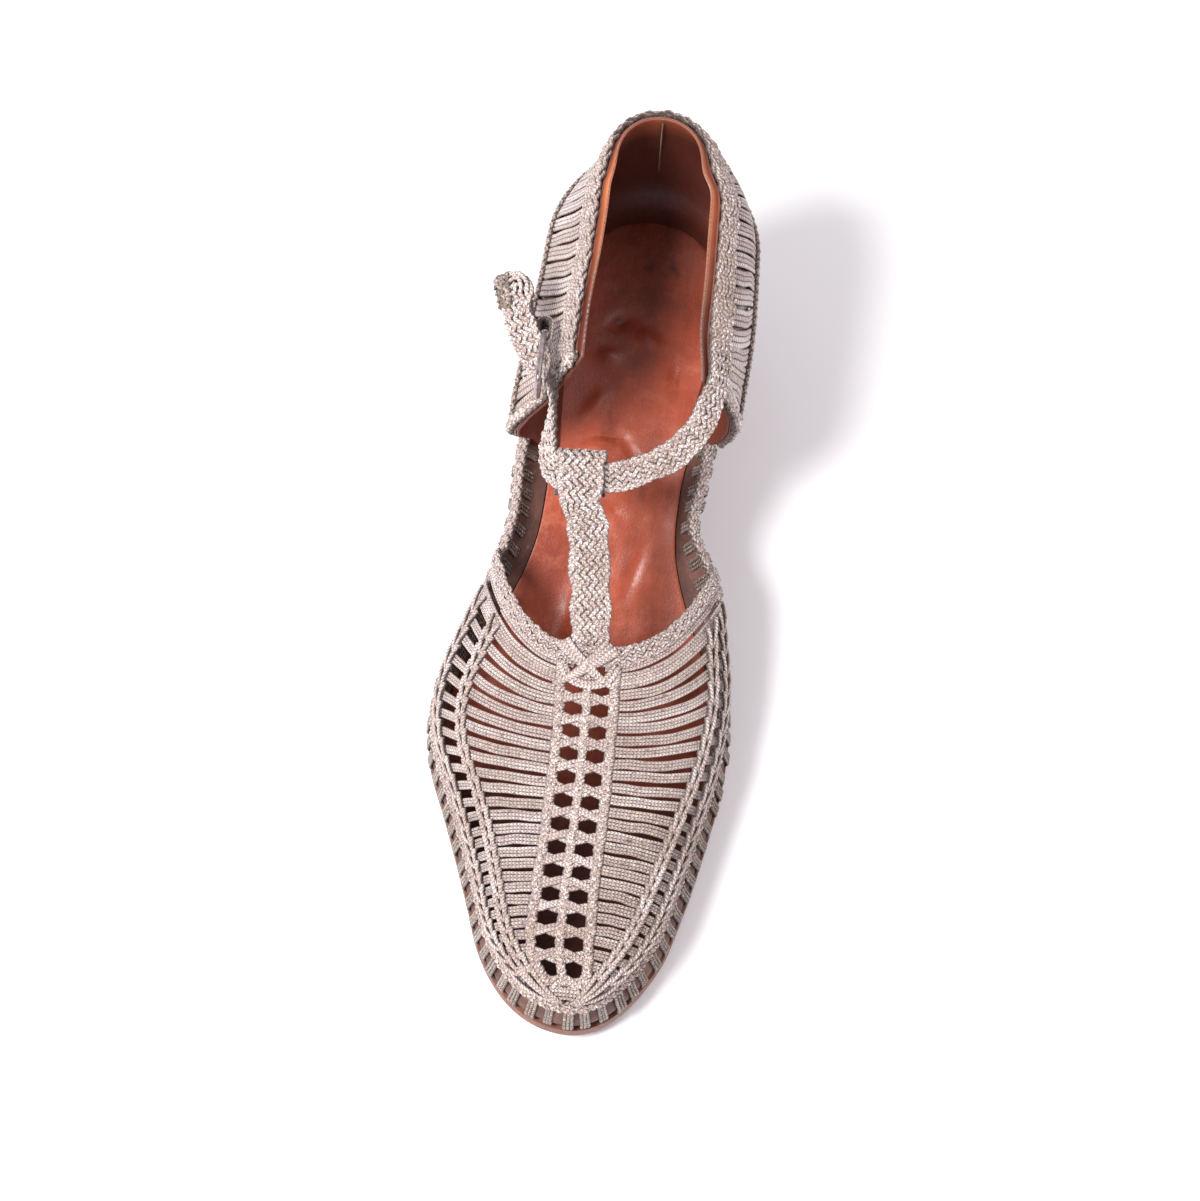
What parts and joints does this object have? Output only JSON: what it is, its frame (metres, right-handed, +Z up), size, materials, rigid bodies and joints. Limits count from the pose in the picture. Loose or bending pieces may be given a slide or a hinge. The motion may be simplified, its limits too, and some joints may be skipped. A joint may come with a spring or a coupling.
{
  "type": "t-bar sandal",
  "caption": "Woven cord T-bar sandal for the right foot, open at the waist, with a low block heel, a leather insole and a buckled ankle strap.",
  "frame": {"origin": "centre of the heel's ground face, on the floor plane", "axes": "+Z up, the toe points along -Y and the heel's back along +Y, +X is the inner (medial) side of the right foot"},
  "size_m": [0.0865, 0.245, 0.1077],
  "materials": {
    "woven_cord": "braided silver-grey cord with a slight sheen",
    "sole_leather": "worn sole leather",
    "insole_leather": "smooth red-brown leather, polished by wear",
    "rand_leather": "matt brown leather strip with punched holes",
    "heel_leather": "dark red-brown heel cover, semi-gloss",
    "top_piece_rubber": "dark worn rubber",
    "buckle_metal": "dull pinkish-grey metal"
  },
  "bodies": {
    "root": {"outsole": "sole_leather", "insole": "insole_leather", "rand": "rand_leather", "edge_plait": "woven_cord", "heel_block": "heel_leather", "heel_top_piece": "top_piece_rubber", "quarter": "woven_cord", "vamp_and_t_strap": "woven_cord", "ankle_strap": "woven_cord", "buckle": "buckle_metal", "buckle_tab": "woven_cord"}
  },
  "joints": []
}
